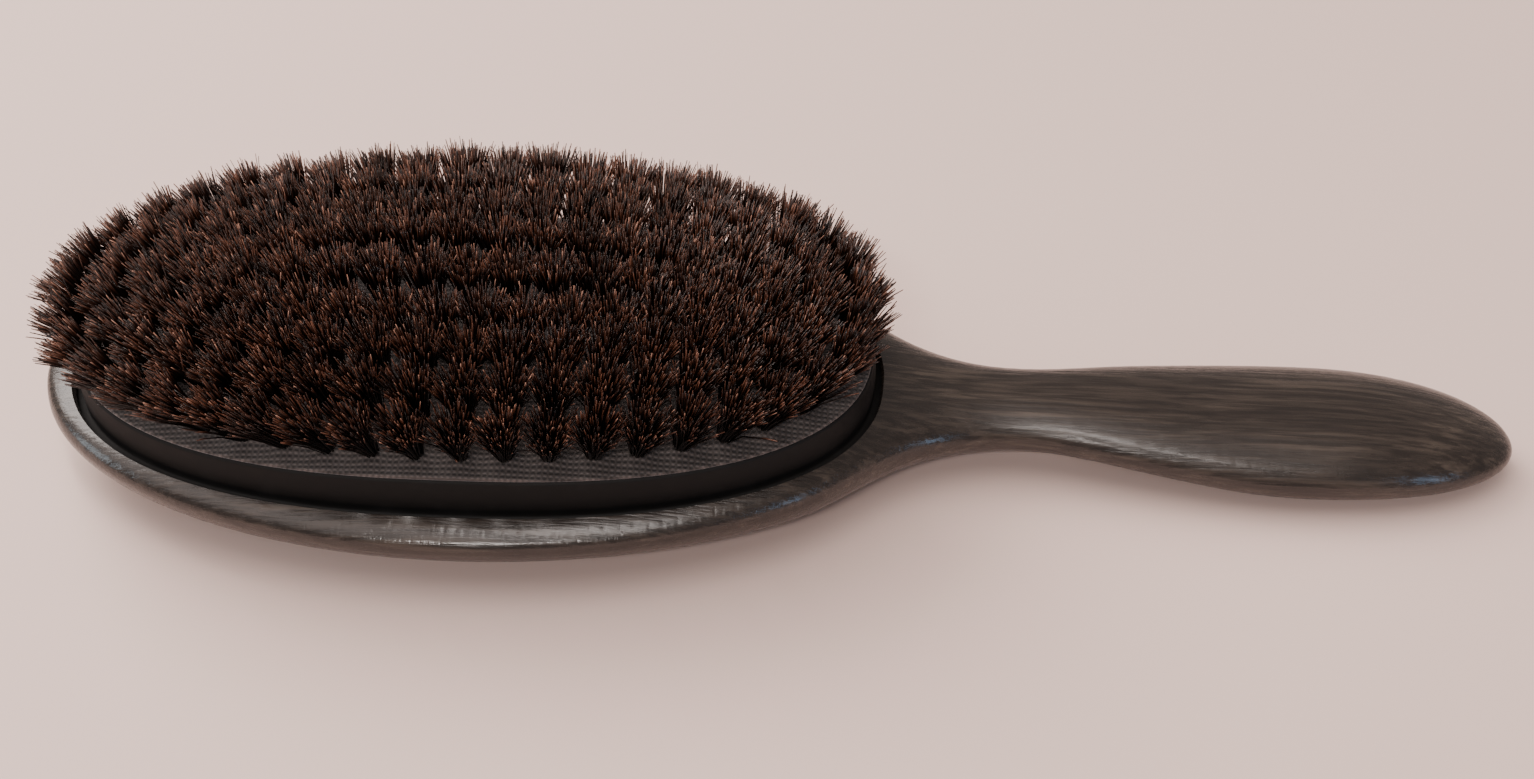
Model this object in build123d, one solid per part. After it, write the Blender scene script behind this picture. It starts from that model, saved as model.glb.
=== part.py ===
"""Oval cushion hairbrush: one-piece wooden head and handle, air cushion, rings of bristle tufts.

Frame: +X runs along the brush from the head's tip to the handle's end, +Z is up, on the side
of the bristles, and Y is across. The origin lies under the middle of the brush's length, on the
surface that the brush lies on. All sizes are in millimetres.
"""
from build123d import *
from math import cos, hypot, pi, sin, sqrt
import os

# Wooden body: places along the brush are measured from the head's tip.
LENGTH = 225.0
HEAD_LENGTH = 134.0
HEAD_WIDTH = 72.0
RIM_HEIGHT = 15.0  # level of the head's front face
RIM_CROWN = 4.4  # from the head's widest line up to its front face
RIM_SQUARENESS = 3.2  # exponent of the head's upper edge
UNDERSIDE_SQUARENESS = 2.0
TIP_ROUNDNESS = 2.16  # exponent of the head's underside towards its tip
TIP_FLATNESS = 5  # exponent of the head's front face towards its tip
NECK_BEYOND_HEAD = 16.0  # from the end of the head's oval to the narrowest place
NECK_WIDTH = 16.0
NECK_THICKNESS = 8.0
NECK_LEVEL = 8.2
NECK_SQUARENESS = 2.4
GRIP_PAST_MIDDLE = 4.5  # its widest place, past the middle between neck and end
GRIP_WIDTH = 26.6
GRIP_THICKNESS = 11.0
GRIP_SQUARENESS = 2.2
GRIP_END_DROP = 1.4
GRIP_END_ROUNDNESS = 2.3
SHOULDER_LENGTH = 25.0  # the stretch of the head that already bends towards the neck
WAIST_BEFORE_END = 8.0  # where the outline leaves the oval, from the oval's end
EARLY_SWELL = 0.45  # how soon the grip widens past the neck

# Pocket for the cushion, in the head's front face.
RIM_AT_TIP = 5.1  # from the head's outline to the pocket
RIM_AT_SIDE = 4.5
RIM_AT_NECK = 6.1
POCKET_SQUARENESS = 2.3
POCKET_DEPTH = 6.6
POCKET_BEVEL = 0.9
POCKET_BEVEL_DEPTH = 2.0
GROOVE_DEPTH = 1.2
GROOVE_HEIGHT = 2.2
GROOVE_BELOW_RIM = 2.6

# Cushion: bead, side wall, rubber top, fabric facing and backing.
BEAD_CLEARANCE = 0.08
CUSHION_INSET = 1.3  # from the pocket's wall to the cushion's side wall
RUBBER = 1.5
SEAM = 0.02  # between the side wall and the rubber top that moves on it
CROWN_HEIGHT = 8.6  # the facing's middle above the rim
DOME_HEIGHT = 10.0  # semi-axis of the ellipsoid that the facing follows
DOME_SPREAD = 1.25  # its other semi-axes, as multiples of the cushion's
FACING = 0.6
FACING_INSET = 0.35
BACKING = 0.8
BACKING_INSET = 2.6
VENT_DIAMETER = 1.6
VENT_FROM_END = 2.6

# Tufts, in rings that follow the cushion's edge.
RING_COUNT = 4
MIDDLE_EXTRA = 2.3  # extra room on each side of the middle row, past the step between rings
EDGE_TO_TUFT_SIDE = 3.9
EDGE_TO_TUFT_END = 5.0
TUFT_PITCH = 6.2
TUFT_LENGTH = 12.8
TUFT_ROOT_RADIUS = 0.95
TUFT_SOCKET_RADIUS = 1.35
TUFT_SOCKET_HEIGHT = 1.2
TUFT_TIP_RADIUS = 2.15
TUFT_CORNER = 0.8
LEAN_TO_TIP = 0.88  # tangent of the outermost tufts' lean at the head's tip
LEAN_TO_NECK = 0.46
LEAN_TO_SIDE = 0.44
LEAN_GROWTH = 0.6  # how late the lean sets in, from the middle outwards
STAPLE_WIRE = 0.6
STAPLE_LENGTH = 3.4

OUTLINE_POINTS = 32
SECTION_POINTS = 24
SECTIONS = 30

WAIST_AT = HEAD_LENGTH - WAIST_BEFORE_END
NECK_AT = HEAD_LENGTH + NECK_BEYOND_HEAD
GRIP_AT = (NECK_AT + LENGTH) / 2 + GRIP_PAST_MIDDLE
POCKET_LENGTH = HEAD_LENGTH - RIM_AT_TIP - RIM_AT_NECK
POCKET_WIDTH = HEAD_WIDTH - 2 * RIM_AT_SIDE
POCKET_CENTRE = RIM_AT_TIP + POCKET_LENGTH / 2
CUSHION_LENGTH = POCKET_LENGTH - 2 * CUSHION_INSET
CUSHION_WIDTH = POCKET_WIDTH - 2 * CUSHION_INSET
CROWN_LEVEL = RIM_HEIGHT + CROWN_HEIGHT
WIDEST_LEVEL = RIM_HEIGHT - RIM_CROWN
BEAD_TOP = RIM_HEIGHT - GROOVE_BELOW_RIM - BEAD_CLEARANCE
RUBBER_TOP = FACING
BACKING_TOP = FACING + RUBBER
BACKING_UNDER = FACING + RUBBER + BACKING
RING_STEP = (CUSHION_WIDTH / 2 - EDGE_TO_TUFT_SIDE - MIDDLE_EXTRA) / RING_COUNT


def along(distance):
    """Turn a distance from the head's tip into an X position."""
    return distance - LENGTH / 2


def ramp(value, start, stop):
    """Rise in a straight line from 0 at start to 1 at stop."""
    return min(max((value - start) / (stop - start), 0.0), 1.0)


def ease(value, start, stop):
    """Rise smoothly from 0 at start to 1 at stop."""
    t = ramp(value, start, stop)
    return t * t * (3 - 2 * t)


def dome_share(distance, exponent):
    """Share of the full size left at a distance of 0 to 1 from a rounded end's middle."""
    return max(1 - min(abs(distance), 1.0) ** exponent, 0.0) ** (1 / exponent)


def squared_reach(turn, exponent):
    """Distance from the middle of a unit oval to its edge; an exponent above 2 squares it."""
    return (abs(cos(turn)) ** exponent + abs(sin(turn)) ** exponent) ** (-1 / exponent)


def oval_half_width(distance):
    """Half of the head's width along its oval."""
    return HEAD_WIDTH / 2 * dome_share(2 * distance / HEAD_LENGTH - 1, 2)


def waist_half_width(distance):
    """Half of the width along the hollow curve that leaves the oval in line with it."""
    share = ramp(distance, WAIST_AT, NECK_AT)
    start = oval_half_width(WAIST_AT)
    from_middle = (WAIST_AT - HEAD_LENGTH / 2) / (HEAD_LENGTH / 2) ** 2
    slope = -((HEAD_WIDTH / 2) ** 2) * from_middle / start
    straight = start + (NECK_WIDTH / 2 - start) * ease(distance, WAIST_AT, NECK_AT)
    return straight + slope * (NECK_AT - WAIST_AT) * share * (1 - share) ** 2


def half_width(distance):
    """Half of the body's width, from the head's oval through the waist to the grip."""
    if distance <= WAIST_AT:
        return oval_half_width(distance)
    if distance <= NECK_AT:
        return waist_half_width(distance)
    swell = ease(distance, NECK_AT, GRIP_AT)
    early = sin(pi / 2 * ramp(distance, NECK_AT, GRIP_AT))
    early *= ease(distance, NECK_AT, NECK_AT + (GRIP_AT - NECK_AT) / 3)
    bulge = (1 - EARLY_SWELL) * swell + EARLY_SWELL * early
    return (NECK_WIDTH / 2 + (GRIP_WIDTH - NECK_WIDTH) / 2 * bulge) * end_share(distance)


def end_share(distance):
    """Share of the grip's size left towards the handle's rounded end."""
    return sqrt(1 - ramp(distance, GRIP_AT, LENGTH) ** GRIP_END_ROUNDNESS)


def blend_levels(distance, head, neck, grip):
    """Blend a value from the head's to the neck's and on to the grip's."""
    to_neck = ease(distance, HEAD_LENGTH - SHOULDER_LENGTH, NECK_AT)
    to_grip = ease(distance, NECK_AT, GRIP_AT)
    return head + (neck - head) * to_neck + (grip - neck) * to_grip


def body_section(distance):
    """One closed section across the body: a squarer upper half on a round lower half."""
    grip_half = GRIP_THICKNESS / 2
    neck_half = NECK_THICKNESS / 2
    level = blend_levels(distance, WIDEST_LEVEL, NECK_LEVEL, grip_half)
    level -= GRIP_END_DROP * ramp(distance, GRIP_AT, LENGTH) ** 2
    from_tip = ramp(HEAD_LENGTH / 2 - distance, 0, HEAD_LENGTH / 2)
    up = blend_levels(distance, RIM_CROWN, neck_half, grip_half) * end_share(distance)
    up *= dome_share(from_tip, TIP_FLATNESS)
    down = blend_levels(distance, WIDEST_LEVEL, neck_half, grip_half) * end_share(distance)
    down *= dome_share(from_tip, TIP_ROUNDNESS)
    wide = half_width(distance)
    upper_exponent = blend_levels(distance, RIM_SQUARENESS, NECK_SQUARENESS, GRIP_SQUARENESS)
    points = []
    for step in range(SECTION_POINTS):
        turn = 2 * pi * step / SECTION_POINTS
        reach = squared_reach(turn, upper_exponent if sin(turn) > 0 else UNDERSIDE_SQUARENESS)
        height = (up if sin(turn) > 0 else down) * reach * sin(turn)
        points.append(Vector(along(distance), wide * reach * cos(turn), level + height))
    return Face(Wire([Edge.make_spline(points, periodic=True)]))


def oval(length, width, level):
    """A closed, slightly squared oval around the pocket's middle."""
    points = []
    for step in range(OUTLINE_POINTS):
        turn = 2 * pi * step / OUTLINE_POINTS
        reach = squared_reach(turn, POCKET_SQUARENESS)
        x = along(POCKET_CENTRE) + length / 2 * reach * cos(turn)
        points.append(Vector(x, width / 2 * reach * sin(turn), level))
    return Face(Wire([Edge.make_spline(points, periodic=True)]))


def oval_block(grow, bottom, top):
    """A block of the pocket's outline, grown by a margin, between two levels."""
    face = oval(POCKET_LENGTH + 2 * grow, POCKET_WIDTH + 2 * grow, bottom)
    return extrude(face, amount=top - bottom, dir=(0, 0, 1))


def dome(depth):
    """The ellipsoid that lies a depth below the facing's upper side."""
    semi_x = DOME_SPREAD * CUSHION_LENGTH / 2 - depth
    semi_y = DOME_SPREAD * CUSHION_WIDTH / 2 - depth
    ball = scale(Sphere(1), by=(semi_x, semi_y, DOME_HEIGHT - depth))
    return Pos(along(POCKET_CENTRE), 0, CROWN_LEVEL - DOME_HEIGHT) * ball


def dome_point(x, y):
    """The point of the facing's upper side above a place on the plan."""
    semi_x = DOME_SPREAD * CUSHION_LENGTH / 2
    semi_y = DOME_SPREAD * CUSHION_WIDTH / 2
    fall = sqrt(1 - ((x - along(POCKET_CENTRE)) / semi_x) ** 2 - (y / semi_y) ** 2)
    return Vector(x, y, CROWN_LEVEL - DOME_HEIGHT * (1 - fall))


def dome_layer(top_depth, bottom_depth, inset):
    """A curved layer between two depths below the facing, cut to the cushion's outline."""
    outline = oval_block(-CUSHION_INSET - inset, CROWN_LEVEL - DOME_HEIGHT, CROWN_LEVEL + 1)
    layer = (outline & dome(top_depth)) - dome(bottom_depth)
    return layer - vent()


def vent():
    """The air hole through the cushion's layers, between the last two tufts at the handle end."""
    x = along(POCKET_CENTRE) + CUSHION_LENGTH / 2 - VENT_FROM_END - BACKING_INSET
    return Pos(x, 0, CROWN_LEVEL) * Cylinder(VENT_DIAMETER / 2, 4 * DOME_HEIGHT)


def brush_body():
    """The wooden head and handle, with the pocket and the groove for the cushion's bead."""
    turns = [pi * (i + 0.5) / SECTIONS for i in range(SECTIONS)]
    sections = [body_section(LENGTH * (1 - cos(turn)) / 2) for turn in turns]
    tip = Vertex(along(0), 0, WIDEST_LEVEL)
    end = Vertex(along(LENGTH), 0, GRIP_THICKNESS / 2 - GRIP_END_DROP)
    body = loft([tip] + sections + [end])
    over = 2.0
    above = RIM_HEIGHT + over
    pocket = oval_block(0, RIM_HEIGHT - POCKET_DEPTH, above)
    groove_top = RIM_HEIGHT - GROOVE_BELOW_RIM
    groove = oval_block(GROOVE_DEPTH, groove_top - GROOVE_HEIGHT, groove_top)
    slope = POCKET_BEVEL / POCKET_BEVEL_DEPTH
    low = oval(POCKET_LENGTH, POCKET_WIDTH, RIM_HEIGHT - POCKET_BEVEL_DEPTH)
    flare = POCKET_BEVEL + slope * over
    high = oval(POCKET_LENGTH + 2 * flare, POCKET_WIDTH + 2 * flare, above)
    return body - pocket - groove - loft([low, high], ruled=True)


def cushion_bead():
    """The cushion's thick lower edge, snapped into the groove."""
    bottom = RIM_HEIGHT - GROOVE_BELOW_RIM - GROOVE_HEIGHT + BEAD_CLEARANCE
    outer = oval_block(GROOVE_DEPTH - BEAD_CLEARANCE, bottom, BEAD_TOP)
    return outer - oval_block(-CUSHION_INSET - RUBBER, bottom - 1, BEAD_TOP + 1)


def cushion_skirt():
    """The thin side wall that rises from the bead and folds as the cushion is pressed."""
    outer = oval_block(-CUSHION_INSET, BEAD_TOP, CROWN_LEVEL)
    wall = outer - oval_block(-CUSHION_INSET - RUBBER, BEAD_TOP - 1, CROWN_LEVEL + 1)
    return wall & dome(BACKING_TOP + SEAM)


def ring_places(ring):
    """Evenly spaced places on the plan for one ring's tufts; the last ring is the middle row."""
    length = CUSHION_LENGTH - 2 * EDGE_TO_TUFT_END - 2 * RING_STEP * ring
    width = CUSHION_WIDTH - 2 * EDGE_TO_TUFT_SIDE - 2 * RING_STEP * ring
    if ring == RING_COUNT:
        count = 1 + 2 * int(length / 2 / TUFT_PITCH)
        start = along(POCKET_CENTRE) - TUFT_PITCH * (count - 1) / 2
        return [Vector(start + TUFT_PITCH * i, 0, 0) for i in range(count)]
    path = oval(length, width, 0).outer_wire()
    count = round(path.length / TUFT_PITCH)
    offset = 0.0 if ring % 2 else 0.5  # the outer ring leaves room for the vent
    return [path.position_at((i + offset) / count) for i in range(count)]


def tuft_axis(place):
    """The direction in which the tuft at one place leans."""
    reach_x = (place.X - along(POCKET_CENTRE)) / (CUSHION_LENGTH / 2 - EDGE_TO_TUFT_END)
    reach_y = place.Y / (CUSHION_WIDTH / 2 - EDGE_TO_TUFT_SIDE)
    lean_x = LEAN_TO_TIP if reach_x < 0 else LEAN_TO_NECK
    outward = hypot(reach_x, reach_y) ** LEAN_GROWTH
    return Vector(lean_x * reach_x * outward, LEAN_TO_SIDE * reach_y * outward, 1).normalized()


def tuft_solid():
    """One tuft, from its folded root under the backing to its clipped tips."""
    root = -BACKING_UNDER - STAPLE_WIRE
    outline = Polyline(
        (0, root),
        (TUFT_ROOT_RADIUS, root),
        (TUFT_ROOT_RADIUS, 0),
        (TUFT_SOCKET_RADIUS, TUFT_SOCKET_HEIGHT),
        (TUFT_TIP_RADIUS, TUFT_LENGTH - TUFT_CORNER),
        (TUFT_TIP_RADIUS - TUFT_CORNER, TUFT_LENGTH),
        (0, TUFT_LENGTH),
        close=True,
    )
    profile = make_face(Plane.XZ * outline)
    return revolve(profile, Axis.Z).solid()


def staple_solid():
    """The short wire that holds a tuft's fold under the backing."""
    start = Plane((0, -STAPLE_LENGTH / 2, 0), z_dir=(0, 1, 0))
    return Solid.make_cylinder(STAPLE_WIRE / 2, STAPLE_LENGTH, start)


def tuft_planes(ring):
    """A plane at each tuft's root on the facing, square to the tuft."""
    places = ring_places(ring)
    return [Plane(dome_point(p.X, p.Y), x_dir=(1, 0, 0), z_dir=tuft_axis(p)) for p in places]


def tuft_ring(ring):
    """All tufts of one ring."""
    tuft = tuft_solid()
    return Compound(children=[tuft.moved(plane.location) for plane in tuft_planes(ring)])


def staple_ring(ring):
    """The wires under one ring's tufts."""
    staple = staple_solid().moved(Pos(0, 0, -BACKING_UNDER - STAPLE_WIRE))
    return Compound(children=[staple.moved(plane.location) for plane in tuft_planes(ring)])


def build_parts():
    """Build every node of the brush, by name."""
    parts = {
        "brush_body": brush_body(),
        "cushion_bead": cushion_bead(),
        "cushion_skirt": cushion_skirt(),
        "cushion_membrane": dome_layer(RUBBER_TOP, BACKING_TOP, 0),
        "fabric_facing": dome_layer(0, FACING, FACING_INSET),
        "anchor_backing": dome_layer(BACKING_TOP, BACKING_UNDER, BACKING_INSET),
    }
    for ring in range(RING_COUNT + 1):
        parts[f"tuft_ring_{ring + 1}"] = tuft_ring(ring)
        parts[f"tuft_staples_{ring + 1}"] = staple_ring(ring)
    return parts


os.makedirs("parts", exist_ok=True)
for name, shape in build_parts().items():
    shape.label = name
    export_step(shape, f"parts/{name}.step")
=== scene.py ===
"""Looks of an oval cushion hairbrush: lacquered wood, fabric-faced air cushion, bristle tufts."""
import logging
import math
import random
from dataclasses import dataclass, field
from enum import Enum

import bmesh
import bpy
import numpy as np
from mathutils import Matrix, Vector


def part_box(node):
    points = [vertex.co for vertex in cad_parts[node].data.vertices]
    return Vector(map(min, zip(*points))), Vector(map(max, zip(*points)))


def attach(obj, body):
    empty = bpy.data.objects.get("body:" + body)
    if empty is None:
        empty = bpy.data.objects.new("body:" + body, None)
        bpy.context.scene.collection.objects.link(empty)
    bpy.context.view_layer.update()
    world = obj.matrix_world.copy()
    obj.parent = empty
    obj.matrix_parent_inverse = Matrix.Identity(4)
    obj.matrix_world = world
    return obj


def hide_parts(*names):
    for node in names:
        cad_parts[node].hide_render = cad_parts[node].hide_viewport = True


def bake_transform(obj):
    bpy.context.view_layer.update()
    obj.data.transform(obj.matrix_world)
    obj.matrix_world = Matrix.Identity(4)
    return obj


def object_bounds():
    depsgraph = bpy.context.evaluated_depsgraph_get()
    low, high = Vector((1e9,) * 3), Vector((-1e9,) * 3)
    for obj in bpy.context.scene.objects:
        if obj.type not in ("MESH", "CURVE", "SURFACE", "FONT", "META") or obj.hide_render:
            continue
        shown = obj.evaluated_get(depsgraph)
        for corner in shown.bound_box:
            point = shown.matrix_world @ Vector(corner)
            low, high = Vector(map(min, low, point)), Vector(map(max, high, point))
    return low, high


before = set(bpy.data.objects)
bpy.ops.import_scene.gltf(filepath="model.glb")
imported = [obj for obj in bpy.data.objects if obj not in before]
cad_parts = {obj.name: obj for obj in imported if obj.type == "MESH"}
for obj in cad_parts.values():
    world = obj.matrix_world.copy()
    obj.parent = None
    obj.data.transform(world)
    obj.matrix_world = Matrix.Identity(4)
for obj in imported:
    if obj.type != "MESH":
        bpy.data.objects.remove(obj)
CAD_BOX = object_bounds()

log = logging.getLogger("brush")
MM = 0.001

CUSHION_BODY = "cushion"

# How a tuft's solid is read: what counts as one point, as its end, and as on the middle line.
SAME_POINT = 0.002 * MM
END_BAND = 0.05 * MM
ON_MIDDLE_LINE = 0.000001 * MM
ROOT_DEPTH = 3.5 * MM  # from the tuft's lower end up to the fabric


class Term:
    """A shader value that takes part in plain arithmetic."""

    def __init__(self, shader: "Shader", socket: bpy.types.NodeSocket) -> None:
        """Keep the shader that owns the socket.

        Args:
            shader: the material under construction.
            socket: the output that this value stands for.
        """
        self.shader = shader
        self.socket = socket

    def _math(self, operation: str, *values: "Term | float") -> "Term":
        """Add one Math node and return its result."""
        return self.shader.add("ShaderNodeMath", {"operation": operation}, dict(enumerate(values)))

    def __add__(self, other: "Term | float") -> "Term":
        """Add."""
        return self._math("ADD", self, other)

    def __radd__(self, other: float) -> "Term":
        """Add to a plain number."""
        return self._math("ADD", other, self)

    def __sub__(self, other: "Term | float") -> "Term":
        """Subtract."""
        return self._math("SUBTRACT", self, other)

    def __rsub__(self, other: float) -> "Term":
        """Subtract from a plain number."""
        return self._math("SUBTRACT", other, self)

    def __mul__(self, other: "Term | float") -> "Term":
        """Multiply."""
        return self._math("MULTIPLY", self, other)

    def __rmul__(self, other: float) -> "Term":
        """Multiply a plain number."""
        return self._math("MULTIPLY", other, self)

    def sine(self) -> "Term":
        """Sine of the value, in radians."""
        return self._math("SINE", self)

    def spread(self, low: float, high: float, to_low: float = 0.0, to_high: float = 1.0) -> "Term":
        """Map low..high to to_low..to_high with soft ends.

        Args:
            low: value that becomes to_low.
            high: value that becomes to_high.
            to_low: result at and below low.
            to_high: result at and above high.

        Returns:
            The mapped value.
        """
        settings = {"interpolation_type": "SMOOTHSTEP"}
        values = {"Value": self, "From Min": low, "From Max": high, "To Min": to_low, "To Max": to_high}
        return self.shader.add("ShaderNodeMapRange", settings, values)


class Shader:
    """A material that is put together one node at a time."""

    def __init__(self, name: str) -> None:
        """Start an empty material.

        Args:
            name: the material's name.
        """
        self.material = bpy.data.materials.new(name)
        self.material.use_nodes = True
        self.tree = self.material.node_tree
        self.tree.nodes.clear()
        self.output = self.tree.nodes.new("ShaderNodeOutputMaterial")

    def add(
        self, kind: str, settings: dict | None = None, values: dict | None = None, out: int | str = 0
    ) -> Term:
        """Add a node, set it up and join its inputs.

        Args:
            kind: the node's type.
            settings: properties of the node, set first.
            values: numbers, colours or other terms, by socket name or index.
            out: name or index of the output to return.

        Returns:
            The chosen output.
        """
        node = self.tree.nodes.new(kind)
        for key, value in (settings or {}).items():
            setattr(node, key, value)
        for key, value in (values or {}).items():
            if isinstance(value, Term):
                self.tree.links.new(value.socket, node.inputs[key])
            else:
                node.inputs[key].default_value = value
        return Term(self, node.outputs[out])

    def coords(self, scale: tuple[float, float, float]) -> Term:
        """Object coordinates, stretched by a scale.

        Args:
            scale: how much each axis is multiplied by.

        Returns:
            The coordinates.
        """
        where = self.add("ShaderNodeTexCoord", out="Object")
        return self.add("ShaderNodeMapping", None, {"Vector": where, "Scale": scale})

    def noise(self, where: Term, scale: float, detail: float = 3.0, roughness: float = 0.55) -> Term:
        """A noise value from 0 to 1.

        Args:
            where: coordinates.
            scale: size of the pattern.
            detail: layers of finer noise.
            roughness: strength of the finer layers.

        Returns:
            The noise.
        """
        values = {"Vector": where, "Scale": scale, "Detail": detail, "Roughness": roughness}
        return self.add("ShaderNodeTexNoise", None, values)

    def mix(self, share: Term | float, first: Term | tuple, second: Term | tuple) -> Term:
        """Mix two colours.

        Args:
            share: how much of the second.
            first: colour at 0.
            second: colour at 1.

        Returns:
            The mixed colour.
        """
        settings = {"data_type": "RGBA"}
        return self.add("ShaderNodeMix", settings, {0: share, 6: rgba(first), 7: rgba(second)}, out=2)

    def bump(self, height: Term, strength: float, distance: float) -> Term:
        """A bumped normal.

        Args:
            height: the relief, from 0 to 1.
            strength: how strongly it shows.
            distance: height of the relief, in metres.

        Returns:
            The normal.
        """
        values = {"Height": height, "Strength": strength, "Distance": distance}
        return self.add("ShaderNodeBump", None, values)

    def surface(self, **values: "Term | float | tuple") -> bpy.types.Material:
        """Finish with a Principled surface.

        Args:
            values: its inputs; an underscore in a name stands for a space.

        Returns:
            The finished material.
        """
        inputs = {key.replace("_", " "): rgba(value) for key, value in values.items()}
        shaded = self.add("ShaderNodeBsdfPrincipled", None, inputs)
        self.tree.links.new(shaded.socket, self.output.inputs["Surface"])
        return self.material


def rgba(value: Term | float | tuple) -> Term | float | tuple:
    """Give a plain colour its alpha.

    Args:
        value: a number, a term or a colour.

    Returns:
        The colour with its alpha, or the value as it was.
    """
    if isinstance(value, tuple) and len(value) == 3:
        return (*value, 1.0)
    return value


@dataclass(frozen=True)
class LacqueredWood:
    """Dark stained wood with streaky grain under clear gloss lacquer."""

    deep: tuple[float, float, float] = (0.0125, 0.0092, 0.0076)
    brown: tuple[float, float, float] = (0.0230, 0.0172, 0.0138)
    pale: tuple[float, float, float] = (0.060, 0.046, 0.036)
    lacquer: float = 0.15
    gloss: float = 0.10

    def make(self) -> bpy.types.Material:
        """Build the material.

        Returns:
            The wood under its lacquer.
        """
        shader = Shader("lacquered_wood")
        waver = shader.noise(shader.coords((16, 70, 70)), 1.0, 2.0)
        bent = shader.add("ShaderNodeVectorMath", {"operation": "MULTIPLY_ADD"},
                          {0: waver, 1: (0.0, 0.0030, 0.0030), 2: shader.coords((1, 1, 1))})
        streak = self.lengthwise(shader, bent, 22, 620, 4.0)
        grain = self.lengthwise(shader, bent, 65, 1500, 2.0)
        fibre = self.lengthwise(shader, bent, 130, 3600, 3.0)
        pores = self.lengthwise(shader, bent, 210, 5200, 1.0)
        cloud = shader.noise(shader.coords((22, 70, 70)), 1.0, 3.0)
        light = streak.spread(0.42, 0.70) * grain.spread(0.38, 0.62, 0.2, 1.0)
        light = light * cloud.spread(0.32, 0.66, 0.3, 1.0)
        dark = shader.mix(grain.spread(0.35, 0.62), self.deep, self.brown)
        colour = shader.mix(light, shader.mix(pores.spread(0.62, 0.68, 0.0, 0.8), dark, self.deep), self.pale)
        return shader.surface(
            Base_Color=colour,
            Roughness=0.20 + 0.12 * fibre,
            Normal=shader.bump(fibre * 0.2 + grain * 0.5 + streak * 0.3, 1.0, 0.00016),
            Coat_Weight=self.lacquer,
            Coat_Roughness=self.gloss,
            Specular_IOR_Level=0.5,
        )

    @staticmethod
    def lengthwise(shader: Shader, where: Term, along: float, across: float, detail: float) -> Term:
        """Noise that is drawn out along the brush.

        Args:
            shader: the material under construction.
            where: coordinates.
            along: how fast it changes along the brush, per metre.
            across: how fast it changes across the grain, per metre.
            detail: layers of finer noise.

        Returns:
            The noise.
        """
        drawn = shader.add("ShaderNodeMapping", None, {"Vector": where, "Scale": (along, across, across)})
        return shader.noise(drawn, 1.0, detail, 0.6)


@dataclass(frozen=True)
class CushionRubber:
    """Smooth black rubber."""

    colour: tuple[float, float, float] = (0.0048, 0.0046, 0.0046)

    def make(self) -> bpy.types.Material:
        """Build the material.

        Returns:
            The rubber.
        """
        shader = Shader("cushion_rubber")
        dust = shader.noise(shader.coords((260, 260, 260)), 1.0, 4.0)
        grain = shader.noise(shader.coords((2600, 2600, 2600)), 1.0, 2.0)
        colour = shader.mix(dust.spread(0.5, 0.75, 0.0, 0.5), self.colour, (0.010, 0.0095, 0.0095))
        return shader.surface(
            Base_Color=colour,
            Roughness=dust * 0.25 + 0.5,
            Normal=shader.bump(grain, 0.15, 0.00005),
            Specular_IOR_Level=0.2,
        )


@dataclass(frozen=True)
class CushionFabric:
    """Dark grey woven facing with a coarse, even weave; its colour is painted lighter on the weave's crowns
    and darker in its valleys, as painted highlight and painted shade.
    """

    pitch: float = 0.85 * MM
    # low is the painted shade in the weave's valleys, high the painted highlight on its crowns
    low: tuple[float, float, float] = (0.016, 0.0132, 0.0125)
    high: tuple[float, float, float] = (0.105, 0.087, 0.082)

    def make(self) -> bpy.types.Material:
        """Build the material.

        Returns:
            The woven fabric.
        """
        shader = Shader("cushion_fabric")
        turns = 2 * math.pi / self.pitch
        place = shader.add("ShaderNodeSeparateXYZ", None, {0: shader.coords((1, 1, 1))}, out=0)
        across = Term(shader, place.socket.node.outputs[1])
        wobble = shader.noise(shader.coords((400, 400, 400)), 1.0, 2.0) * 1.2
        warp = (place * turns + wobble).sine()
        weft = (across * turns + wobble).sine()
        crown = (warp * weft) * 0.5 + 0.5
        rib = weft * 0.5 + 0.5
        height = crown * 0.5 + rib * 0.5
        fuzz = shader.noise(shader.coords((3000, 3000, 3000)), 1.0, 2.0)
        # painted light and shade: colour follows the weave's height, crowns lighter as a painted highlight
        # and valleys darker as painted shade; the fuzz adds random fibre tone
        shade = height * 0.75 + fuzz * 0.25
        colour = shader.mix(shade.spread(0.2, 0.95), self.low, self.high)
        return shader.surface(
            Base_Color=colour,
            Roughness=0.72 - 0.12 * height,
            Normal=shader.bump(height + fuzz * 0.15, 0.8, 0.00022),
            Sheen_Weight=0.25,
            Sheen_Roughness=0.5,
            Sheen_Tint=(0.8, 0.78, 0.8, 1.0),
            Specular_IOR_Level=0.35,
        )


@dataclass(frozen=True)
class Bristle:
    """Natural bristle: near black at the root, dark brown with redder, paler tips, and a painted glint at the
    end of a few strands.
    """

    root: tuple[float, float, float] = (0.0010, 0.0007, 0.0007)
    shaft: tuple[float, float, float] = (0.0048, 0.0022, 0.0016)
    tip: tuple[float, float, float] = (0.145, 0.0520, 0.0280)
    # painted glint: pale ends on a few strands stand in for light caught by their cut ends
    pale: tuple[float, float, float] = (0.34, 0.17, 0.115)

    def make(self) -> bpy.types.Material:
        """Build the material.

        Returns:
            The bristle.
        """
        shader = Shader("bristle")
        along = shader.add("ShaderNodeAttribute", {"attribute_name": "along"}, out="Fac")
        strand = shader.add("ShaderNodeAttribute", {"attribute_name": "strand"}, out="Fac")
        patch = shader.noise(shader.coords((170, 170, 170)), 1.0, 2.0)
        lower = shader.mix(along.spread(0.1, 0.7), self.root, self.shaft)
        tint = along.spread(0.72, 1.0) * strand.spread(0.2, 1.0, 0.05, 1.0)
        tint = tint * patch.spread(0.3, 0.7, 0.35, 1.0)
        brown = shader.mix(tint, lower, self.tip)
        # painted glint: the last tenth of a few strands turns pale, standing in for light caught by the cut
        # ends
        colour = shader.mix(along.spread(0.9, 1.0) * strand.spread(0.93, 0.96), brown, self.pale)
        return shader.surface(
            Base_Color=colour,
            Roughness=0.26 + 0.10 * strand,
            Specular_IOR_Level=0.35,
        )


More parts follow.
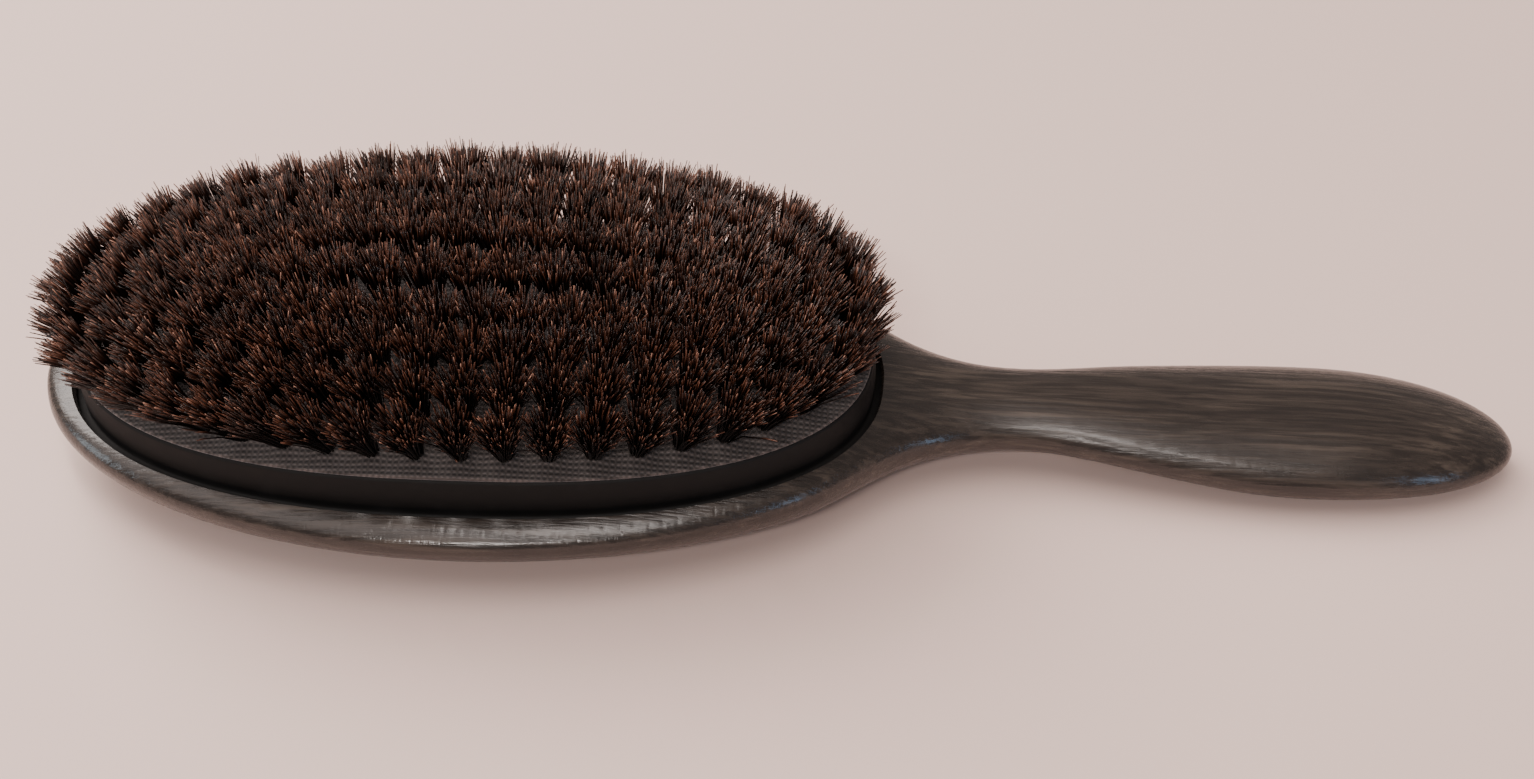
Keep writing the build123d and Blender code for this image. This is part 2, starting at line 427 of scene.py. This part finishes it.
@dataclass(frozen=True)
class BackingFelt:
    """Pressed felt behind the rubber."""

    colour: tuple[float, float, float] = (0.05, 0.046, 0.042)

    def make(self) -> bpy.types.Material:
        """Build the material.

        Returns:
            The felt.
        """
        shader = Shader("backing_felt")
        fleck = shader.noise(shader.coords((1500, 1500, 1500)), 1.0, 4.0)
        colour = shader.mix(fleck.spread(0.35, 0.7), self.colour, (0.11, 0.10, 0.09))
        return shader.surface(Base_Color=colour, Roughness=0.95, Normal=shader.bump(fleck, 0.6, 0.0002))


@dataclass(frozen=True)
class StapleWire:
    """Drawn steel wire."""

    colour: tuple[float, float, float] = (0.52, 0.51, 0.49)

    def make(self) -> bpy.types.Material:
        """Build the material.

        Returns:
            The wire.
        """
        shader = Shader("staple_wire")
        draw = shader.noise(shader.coords((3000, 400, 3000)), 1.0, 2.0)
        return shader.surface(
            Base_Color=shader.mix(draw, self.colour, (0.33, 0.32, 0.31)),
            Metallic=1.0,
            Roughness=draw * 0.2 + 0.28,
        )


@dataclass(frozen=True)
class PaleTable:
    """Plain pale surface under the brush."""

    colour: tuple[float, float, float] = (0.66, 0.50, 0.45)

    def make(self) -> bpy.types.Material:
        """Build the material.

        Returns:
            The table's finish.
        """
        shader = Shader("pale_table")
        mottle = shader.noise(shader.coords((900, 900, 900)), 1.0, 3.0)
        colour = shader.mix(mottle.spread(0.3, 0.7, 0.0, 0.08), self.colour, (0.60, 0.52, 0.50))
        return shader.surface(Base_Color=colour, Roughness=0.6, Specular_IOR_Level=0.3)


def finish_mesh(name: str, work: bmesh.types.BMesh, material: bpy.types.Material) -> bpy.types.Object:
    """Turn a finished bmesh into a smooth-shaded object at the origin.

    Args:
        name: the piece's name.
        work: the shape, which is freed.
        material: its finish.

    Returns:
        The new object.
    """
    mesh = bpy.data.meshes.new(name)
    work.to_mesh(mesh)
    work.free()
    mesh.shade_smooth()
    mesh.materials.append(material)
    piece = bpy.data.objects.new(name, mesh)
    bpy.context.scene.collection.objects.link(piece)
    return piece


def edges_among(made: list, verts: list[bmesh.types.BMVert]) -> list[bmesh.types.BMEdge]:
    """Pick the edges that join the given vertices.

    Args:
        made: new parts of a bmesh.
        verts: the vertices.

    Returns:
        The edges, in the order they were made.
    """
    chosen = set(verts)
    return [item for item in made if isinstance(item, bmesh.types.BMEdge) and set(item.verts) <= chosen]


class Layer(Enum):
    """Levels of the cushion, as depths below the fabric's upper side."""

    CLOTH = 0.0
    RUBBER = 0.6 * MM


@dataclass
class TuftSeat:
    """Where one tuft stands: its place on the fabric, its direction and its length."""

    place: Vector
    direction: Vector
    length: float


def read_seats(node: str) -> list[TuftSeat]:
    """Read a ring's tufts from its CAD node.

    Args:
        node: name of the ring's node.

    Returns:
        One seat for each tuft.
    """
    work = bmesh.new()
    work.from_mesh(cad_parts[node].data)
    bmesh.ops.remove_doubles(work, verts=work.verts, dist=SAME_POINT)
    seats = []
    waiting = set(work.verts)
    for first in work.verts:
        if first not in waiting:
            continue
        waiting.remove(first)
        island = [first]
        for vert in island:
            for edge in vert.link_edges:
                other = edge.other_vert(vert)
                if other in waiting:
                    waiting.remove(other)
                    island.append(other)
        seats.append(seat_of([vert.co for vert in island]))
    work.free()
    return sorted(seats, key=seat_order)


def seat_order(seat: TuftSeat) -> tuple[float, float]:
    """Give a seat its rank in its ring, which rounding errors can't change.

    Args:
        seat: the tuft's seat.

    Returns:
        The angle around the brush's middle, with a tuft on the middle line just below it, and
        the place along the brush.
    """
    across = seat.place.y if abs(seat.place.y) > ON_MIDDLE_LINE else -0.0
    return math.atan2(across, seat.place.x), seat.place.x


def seat_of(points: list[Vector]) -> TuftSeat:
    """Find one tuft's place, direction and length above the fabric from its solid's points.

    Args:
        points: the solid's vertices.

    Returns:
        The seat.
    """
    cloud = np.array(points, float)
    middle = cloud.mean(0)
    axis = np.linalg.svd(cloud - middle, full_matrices=False)[2][0]
    axis *= 1.0 if axis[2] > 0 else -1.0
    reach = (cloud - middle) @ axis
    low = cloud[reach < reach.min() + END_BAND].mean(0)
    high = cloud[reach > reach.max() - END_BAND].mean(0)
    direction = Vector(high - low)
    length = direction.length - ROOT_DEPTH
    direction.normalize()
    return TuftSeat(Vector(low) + direction * ROOT_DEPTH, direction, length)


@dataclass
class Handle:
    """The one-piece wooden head and handle."""

    node: str = "brush_body"
    finish: LacqueredWood = LacqueredWood()

    def build(self) -> None:
        """Dress the wooden body in its grain and lacquer."""
        dress_node(self.node, self.finish.make())


def dress_node(node: str, material: bpy.types.Material) -> None:
    """Give a CAD node a material.

    Args:
        node: the node's name.
        material: its finish.
    """
    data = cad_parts[node].data
    data.materials.clear()
    data.materials.append(material)
    log.info("dressed %s with %s", node, material.name)


@dataclass
class Cushion:
    """The air cushion: one rubber moulding under a woven facing."""

    around: int = 288
    crown_rings: int = 44
    squareness: float = 2.3
    dome_height: float = 10.0 * MM
    dome_spread: float = 1.25
    cloth: float = 0.55 * MM
    rubber_wall: float = 1.4 * MM
    socket_height: float = 0.75 * MM
    socket_radius: float = 1.55 * MM
    sag: float = 0.22 * MM
    sag_spread: float = 1.7
    edge_ease: float = 1.5 * MM
    bead_corner: float = 0.3 * MM
    wall_foot: float = 0.4 * MM
    wall_bulge: float = 0.28 * MM
    wall_steps: int = 8
    round_off: float = 0.5 * MM
    corner_steps: int = 4
    top_rings: int = 14
    rubber: CushionRubber = CushionRubber()
    fabric: CushionFabric = CushionFabric()
    felt: BackingFelt = BackingFelt()
    seats: list[TuftSeat] = field(default_factory=list)

    def __post_init__(self) -> None:
        """Read the cushion's size and place from the frame."""
        low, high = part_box("cushion_membrane")
        _, cloth_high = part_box("fabric_facing")
        bead_low, bead_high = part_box("cushion_bead")
        self.middle_x = (low.x + high.x) / 2
        self.half_x = (high.x - low.x) / 2
        self.half_y = (high.y - low.y) / 2
        self.cloth_inset = high.x - cloth_high.x
        self.crown = cloth_high.z
        self.bead_bottom = bead_low.z
        self.bead_top = bead_high.z
        self.bead_spread = bead_high.x - high.x

    def dome(self, x: float, y: float, depth: float) -> float:
        """Height of the dome above a place.

        Args:
            x: place along the brush.
            y: place across the brush.
            depth: how far below the fabric's upper side.

        Returns:
            The height.
        """
        semi_x = self.dome_spread * self.half_x - depth
        semi_y = self.dome_spread * self.half_y - depth
        share = 1 - ((x - self.middle_x) / semi_x) ** 2 - (y / semi_y) ** 2
        return self.crown - self.dome_height + (self.dome_height - depth) * math.sqrt(max(share, 0.0))

    def oval_point(self, turn: float, grow: float) -> Vector:
        """A point of the cushion's outline, grown by a margin.

        Args:
            turn: angle around the middle.
            grow: margin, negative to shrink.

        Returns:
            The point, at height 0.
        """
        c, s = math.cos(turn), math.sin(turn)
        reach = (abs(c) ** self.squareness + abs(s) ** self.squareness) ** (-1 / self.squareness)
        return Vector((self.middle_x + (self.half_x + grow) * reach * c, (self.half_y + grow) * reach * s, 0))

    def start_ring(self, work: bmesh.types.BMesh) -> list[bmesh.types.BMEdge]:
        """Start a shape with a ring of edges.

        Args:
            work: the empty shape.

        Returns:
            The ring's edges.
        """
        bmesh.ops.create_circle(work, segments=self.around, radius=1.0)
        for vert in work.verts:
            vert.co = self.oval_point(math.atan2(vert.co.y, vert.co.x), 0)
        return list(work.edges)

    def next_ring(self, work: bmesh.types.BMesh, edges: list[bmesh.types.BMEdge]) -> tuple[list, list]:
        """Extrude the last ring.

        Args:
            work: the shape.
            edges: the last ring's edges.

        Returns:
            The new ring's edges and vertices.
        """
        made = bmesh.ops.extrude_edge_only(work, edges=edges)["geom"]
        verts = [item for item in made if isinstance(item, bmesh.types.BMVert)]
        return edges_among(made, verts), verts

    def place_ring(
        self, verts: list[bmesh.types.BMVert], grow: float, level: float | None, depth: float
    ) -> None:
        """Put a ring's vertices on the outline, at a level or on the dome.

        Args:
            verts: the ring's vertices.
            grow: margin from the cushion's outline.
            level: height, or None to follow the dome.
            depth: depth below the fabric, where the ring follows the dome.
        """
        for vert in verts:
            spot = self.oval_point(self.turn_of(vert.co), grow)
            spot.z = self.dome(spot.x, spot.y, depth) if level is None else level
            vert.co = spot

    def rubber_piece(self) -> bpy.types.Object:
        """Model the rubber from its bead up the side wall and over the dome.

        Returns:
            The rubber piece.
        """
        work = bmesh.new()
        edges = self.start_ring(work)
        shoulder_depth = Layer.RUBBER.value
        corner, round_off = self.bead_corner, self.round_off
        profile = [
            (self.bead_spread - corner, self.bead_bottom),
            (self.bead_spread, self.bead_bottom + corner),
            (self.bead_spread, self.bead_top - corner),
            (self.bead_spread - corner, self.bead_top),
            (0.25 * MM, self.bead_top + 0.05 * MM),
            (0.0, self.bead_top + self.wall_foot),
        ]
        for vert in work.verts:
            vert.co.z = self.bead_bottom
        self.place_ring(list(work.verts), 0.4 * MM, self.bead_bottom, 0)
        for grow, level in profile:
            edges, verts = self.next_ring(work, edges)
            self.place_ring(verts, grow, level, 0)
        for step in range(1, self.wall_steps + 1):
            edges, verts = self.next_ring(work, edges)
            self.place_wall(verts, step / self.wall_steps, shoulder_depth + round_off)
        for step in range(1, self.corner_steps + 1):
            turn = math.pi / 2 * step / self.corner_steps
            edges, verts = self.next_ring(work, edges)
            depth = shoulder_depth + round_off * (1 - math.sin(turn))
            self.place_ring(verts, -round_off * (1 - math.cos(turn)), None, depth)
        self.close_dome(work, edges, round_off, shoulder_depth, self.top_rings)
        bmesh.ops.recalc_face_normals(work, faces=work.faces)
        bmesh.ops.solidify(work, geom=list(work.faces), thickness=self.rubber_wall)
        bmesh.ops.recalc_face_normals(work, faces=work.faces)
        return finish_mesh("cushion_rubber_moulding", work, self.rubber.make())

    def place_wall(self, verts: list[bmesh.types.BMVert], share: float, depth: float) -> None:
        """Put a ring on the side wall, which bulges a little under the air's pressure.

        Args:
            verts: the ring's vertices.
            share: how far up the wall, from 0 to 1.
            depth: depth of the wall's top below the fabric.
        """
        bulge = self.wall_bulge * math.sin(math.pi * share)
        bottom = self.bead_top + self.wall_foot
        for vert in verts:
            spot = self.oval_point(self.turn_of(vert.co), bulge)
            top = self.dome(spot.x, spot.y, depth)
            vert.co = Vector((spot.x, spot.y, bottom + (top - bottom) * share))

    def turn_of(self, spot: Vector) -> float:
        """The angle of a point around the cushion's middle, as seen from above."""
        return math.atan2(spot.y / self.half_y, (spot.x - self.middle_x) / self.half_x)

    def close_dome(
        self, work: bmesh.types.BMesh, edges: list, inset: float, depth: float, rings: int
    ) -> None:
        """Carry a ring inwards over the dome and close it at the middle.

        Args:
            work: the shape.
            edges: the ring at the dome's edge.
            inset: the ring's distance inside the outline.
            depth: depth below the fabric's upper side.
            rings: number of steps.
        """
        for step in range(1, rings):
            share = 1 - step / rings
            edges, verts = self.next_ring(work, edges)
            for vert in verts:
                spot = self.oval_point(self.turn_of(vert.co), -inset)
                x = self.middle_x + (spot.x - self.middle_x) * share
                vert.co = Vector((x, spot.y * share, 0))
                vert.co.z = self.dome(x, vert.co.y, depth)
        bmesh.ops.contextual_create(work, geom=edges)

    def fabric_piece(self) -> bpy.types.Object:
        """Model the woven facing, drawn up into a little cone around each tuft.

        Returns:
            The facing.
        """
        work = bmesh.new()
        edges = self.start_ring(work)
        inset = self.cloth_inset
        self.place_ring(list(work.verts), -inset, None, self.cloth)
        edges, verts = self.next_ring(work, edges)
        self.place_ring(verts, -inset, None, 0.22 * MM)
        edges, verts = self.next_ring(work, edges)
        self.place_ring(verts, -inset - 0.1 * MM, None, 0.06 * MM)
        edges, verts = self.next_ring(work, edges)
        self.place_ring(verts, -inset - 0.3 * MM, None, 0.0)
        self.close_dome(work, edges, inset + 0.3 * MM, 0.0, self.crown_rings)
        self.raise_sockets(work)
        bmesh.ops.recalc_face_normals(work, faces=work.faces)
        bmesh.ops.solidify(work, geom=list(work.faces), thickness=self.cloth * 0.8)
        bmesh.ops.recalc_face_normals(work, faces=work.faces)
        return finish_mesh("cushion_fabric_facing", work, self.fabric.make())

    def raise_sockets(self, work: bmesh.types.BMesh) -> None:
        """Lift the fabric around every tuft.

        Args:
            work: the facing's shape.
        """
        spots = np.array([seat.place for seat in self.seats], float)
        for vert in work.verts:
            gaps = np.hypot(spots[:, 0] - vert.co.x, spots[:, 1] - vert.co.y)
            near = float(gaps.min()) / self.socket_radius
            lift = self.socket_height * math.exp(-near ** 2)
            sag = self.sag * (1 - math.exp(-(near / self.sag_spread) ** 2))
            edge = self.edge_share(vert.co)
            vert.co.z += (lift - sag) * edge

    def edge_share(self, spot: Vector) -> float:
        """Ease from 0 at the facing's edge to 1 a little way in.

        Args:
            spot: a point of the facing.

        Returns:
            The share.
        """
        turn = self.turn_of(spot)
        rim = self.oval_point(turn, -self.cloth_inset)
        gap = math.hypot(rim.x - spot.x, rim.y - spot.y) / self.edge_ease
        t = min(gap, 1.0)
        return t * t * (3 - 2 * t)

    def build(self) -> None:
        """Build the cushion's visible pieces and dress its hidden ones."""
        rubber = self.rubber_piece()
        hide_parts("cushion_bead", "cushion_skirt", "cushion_membrane")
        wall_head = self.dome(self.middle_x + self.half_x, 0, 2.2 * MM)
        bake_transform(rubber)
        fabric = self.fabric_piece()
        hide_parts("fabric_facing")
        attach(fabric, CUSHION_BODY)
        dress_node("anchor_backing", self.felt.make())
        log.info("cushion built with %d tuft sockets", len(self.seats))


@dataclass
class TuftRing:
    """One ring of bristle tufts."""

    number: int
    seats: list[TuftSeat]
    finish: bpy.types.Material
    staple: bpy.types.Material
    strands: int = 190
    variants: int = 8
    strand_radius: float = 0.108 * MM
    root_radius: float = 1.05 * MM
    flare_along: float = 4.3 * MM
    flare_across: float = 3.8 * MM
    length_scatter: float = 0.05
    length_change: float = -0.10
    stray: float = 0.42 * MM
    wild_stray: float = 1.0 * MM
    tame_share: float = 0.9
    bend: float = 1.3
    stretches: tuple[tuple[float, float], ...] = ((0.45, 1.0), (0.85, 0.95), (1.0, 0.6))
    seed: int = 100
    length: float = 13.0 * MM

    def strand_mesh(self, dice: random.Random) -> bpy.types.Mesh:
        """Model one tuft of bristles, standing on the origin.

        Args:
            dice: the source of its unevenness.

        Returns:
            The tuft's mesh.
        """
        work = bmesh.new()
        along = work.verts.layers.float.new("along")
        strand = work.verts.layers.float.new("strand")
        for _ in range(self.strands):
            self.add_strand(work, along, strand, dice)
        mesh = bpy.data.meshes.new("tuft")
        work.to_mesh(mesh)
        work.free()
        return mesh

    def add_strand(
        self, work: bmesh.types.BMesh, along: object, strand: object, dice: random.Random
    ) -> None:
        """Add one bristle: a thin three-sided prism in a few bent stretches, narrowed towards a flat-capped
        tip.

        Args:
            work: the tuft under construction.
            along: layer that holds 0 at the root and 1 at the tip.
            strand: layer that holds the bristle's own number from 0 to 1.
            dice: the source of its unevenness.
        """
        turn = dice.uniform(0, 2 * math.pi)
        reach = math.sqrt(dice.random())
        outward = Vector((math.cos(turn), math.sin(turn), 0))
        root = outward * reach * self.root_radius
        foot = self.root_radius
        flare = Vector((self.flare_along, self.flare_across, 0)) - Vector((foot, foot, 0))
        spread = outward * flare * reach
        stray = self.stray if dice.random() < self.tame_share else self.wild_stray
        wander = Vector((dice.gauss(0, stray), dice.gauss(0, stray), 0))
        height = self.length * (1 + dice.gauss(self.length_change, self.length_scatter))
        radius = self.strand_radius * dice.uniform(0.7, 1.3)
        shade = dice.random()
        ring = bmesh.ops.create_circle(work, segments=3, radius=radius)["verts"]
        edges = list(dict.fromkeys(edge for vert in ring for edge in vert.link_edges))
        bmesh.ops.translate(work, verts=ring, vec=root)
        for vert in ring:
            vert[along], vert[strand] = 0.0, shade
        for share, thin in self.stretches:
            made = bmesh.ops.extrude_edge_only(work, edges=edges)["geom"]
            ring = [item for item in made if isinstance(item, bmesh.types.BMVert)]
            edges = edges_among(made, ring)
            spot = root + spread * share ** self.bend + wander * share ** 2 + Vector((0, 0, height * share))
            middle = sum((vert.co for vert in ring), Vector()) / 3
            for vert in ring:
                vert.co = spot + (vert.co - middle).normalized() * radius * thin
                vert[along], vert[strand] = share, shade
        bmesh.ops.contextual_create(work, geom=edges)

    def stance(self, seat: TuftSeat) -> Matrix:
        """Turn a tuft into its seat's direction, with its wide side along the ring.

        Args:
            seat: the tuft's seat.

        Returns:
            The rotation.
        """
        others = [other.place for other in self.seats if other is not seat]
        beside = min(others, key=lambda place: (place - seat.place).length) - seat.place
        across = seat.direction.cross(beside).normalized()
        along = across.cross(seat.direction)
        return Matrix((along, across, seat.direction)).transposed().to_4x4()

    def build(self) -> bpy.types.Object:
        """Plant the ring's tufts on their seats.

        Returns:
            The ring's bristles as one piece.
        """
        dice = random.Random(self.seed + self.number)
        tufts = [self.strand_mesh(dice) for _ in range(self.variants)]
        work = bmesh.new()
        work.verts.layers.float.new("along")
        work.verts.layers.float.new("strand")
        for seat in self.seats:
            start = len(work.verts)
            work.from_mesh(dice.choice(tufts))
            work.verts.ensure_lookup_table()
            stand = self.stance(seat)
            spin = Matrix.Rotation(dice.choice((0, math.pi)) + dice.gauss(0, 0.2), 4, "Z")
            stretch = seat.length / self.length * dice.uniform(0.97, 1.03)
            size = Matrix.Scale(stretch, 4, Vector((0, 0, 1)))
            place = Matrix.Translation(seat.place) @ stand @ spin @ size
            bmesh.ops.transform(work, matrix=place, verts=work.verts[start:])
        piece = finish_mesh(f"bristle_ring_{self.number}", work, self.finish)
        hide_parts(f"tuft_ring_{self.number}")
        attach(piece, CUSHION_BODY)
        dress_node(f"tuft_staples_{self.number}", self.staple)
        log.info("bristle ring %d: %d tufts", self.number, len(self.seats))
        return piece


class Backdrop(Enum):
    """Brightness of the surroundings, by where the light comes from."""

    ROOM = (1.0, 0.865, 0.815)
    WINDOW = (0.80, 0.92, 1.0)
    SKY = (0.45, 0.68, 1.0)
    LAMP = (1.0, 0.92, 0.87)


@dataclass
class Studio:
    """Table, lights and camera."""

    azimuth: float = 2.24
    elevation: float = 43.0
    distance: float = 0.331
    aim: tuple[float, float, float] = (-0.0023, 0.0060, 0.0053)
    roll: float = 0.3
    lens: float = 49.45
    table_size: float = 6.0
    glow_from: tuple[float, float, float] = (-0.45, 0.10, 1.0)
    room_dim: float = 0.36
    room_bright: float = 2.4
    glow_edge: float = 0.70
    glow_middle: float = 1.0

    def build(self) -> None:
        """Set the table, hang the lights and place the camera."""
        self.table()
        self.lights()
        self.camera()

    def table(self) -> None:
        """Lay the pale table under the brush."""
        work = bmesh.new()
        bmesh.ops.create_grid(work, x_segments=1, y_segments=1, size=self.table_size / 2)
        bmesh.ops.translate(work, verts=work.verts, vec=(0, 0, CAD_BOX[0][2] - 0.02 * MM))
        table = finish_mesh("table", work, PaleTable().make())

    def area(self, name: str, place: tuple, size: tuple, power: float, tone: Backdrop) -> None:
        """Hang one soft rectangular light that faces the brush.

        Args:
            name: the light's name.
            place: where it hangs, in metres.
            size: its width and height.
            power: its power in watts.
            tone: its colour.
        """
        lamp = bpy.data.lights.new(name, "AREA")
        lamp.shape = "RECTANGLE"
        lamp.size, lamp.size_y = size
        lamp.energy = power
        lamp.color = tone.value
        holder = bpy.data.objects.new(name, lamp)
        bpy.context.scene.collection.objects.link(holder)
        holder.location = place
        holder.rotation_euler = (-Vector(place)).to_track_quat("-Z", "Y").to_euler()

    def lights(self) -> None:
        """Light the brush softly from above and behind, with a window on the far left."""
        self.room()
        self.area("window", (-0.44, 0.36, 0.52), (0.50, 0.50), 6.2, Backdrop.LAMP)
        self.area("ceiling", (-0.10, -0.06, 1.1), (1.3, 0.12), 6.6, Backdrop.LAMP)
        self.area("bulb", (-0.16, -0.86, 0.86), (0.24, 0.05), 5.6, Backdrop.LAMP)
        self.area("sky_left", (-0.95, -0.12, 0.30), (0.18, 0.40), 1.3, Backdrop.WINDOW)
        self.area("sky_right", (0.85, -0.72, 0.42), (0.10, 0.40), 1.2, Backdrop.SKY)

    def room(self) -> None:
        """Surround the brush with a dim room that brightens towards the ceiling."""
        world = bpy.data.worlds.new("room")
        world.use_nodes = True
        nodes, links = world.node_tree.nodes, world.node_tree.links
        ground = nodes["Background"]
        ground.inputs["Color"].default_value = (*Backdrop.ROOM.value, 1.0)
        where = nodes.new("ShaderNodeTexCoord")
        rise = nodes.new("ShaderNodeVectorMath")
        rise.operation = "DOT_PRODUCT"
        rise.inputs[1].default_value = Vector(self.glow_from).normalized()
        glow = nodes.new("ShaderNodeMapRange")
        glow.interpolation_type = "SMOOTHSTEP"
        glow.inputs["From Min"].default_value = self.glow_edge
        glow.inputs["From Max"].default_value = self.glow_middle
        glow.inputs["To Min"].default_value = self.room_dim
        glow.inputs["To Max"].default_value = self.room_bright
        links.new(where.outputs["Generated"], rise.inputs[0])
        links.new(rise.outputs["Value"], glow.inputs["Value"])
        links.new(glow.outputs["Result"], ground.inputs["Strength"])
        bpy.context.scene.world = world

    def camera(self) -> None:
        """Place the camera."""
        turn, rise = math.radians(self.azimuth), math.radians(self.elevation)
        back = Vector((math.sin(turn) * math.cos(rise), -math.cos(turn) * math.cos(rise), math.sin(rise)))
        data = bpy.data.cameras.new("camera")
        data.lens = self.lens
        data.sensor_width = 36.0
        data.clip_start = 0.01
        data.clip_end = 20.0
        camera = bpy.data.objects.new("camera", data)
        bpy.context.scene.collection.objects.link(camera)
        right = (-back).cross(Vector((0, 0, 1))).normalized()
        up = right.cross(-back)
        tilt = math.radians(self.roll)
        across = right * math.cos(tilt) + up * math.sin(tilt)
        over = up * math.cos(tilt) - right * math.sin(tilt)
        turned = Matrix((across, over, back)).transposed().to_4x4()
        camera.matrix_world = Matrix.Translation(Vector(self.aim) + back * self.distance) @ turned
        bpy.context.scene.camera = camera


def main() -> None:
    """Build every piece of the brush in order."""
    logging.basicConfig(level=logging.INFO, format="%(name)s: %(message)s")
    Handle().build()
    rings = sorted(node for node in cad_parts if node.startswith("tuft_ring_"))
    seats = {node: read_seats(node) for node in rings}
    Cushion(seats=[seat for group in seats.values() for seat in group]).build()
    bristle, wire = Bristle().make(), StapleWire().make()
    for number, node in enumerate(rings, start=1):
        TuftRing(number, seats[node], bristle, wire).build()
    Studio().build()


if __name__ == "__main__":
    main()
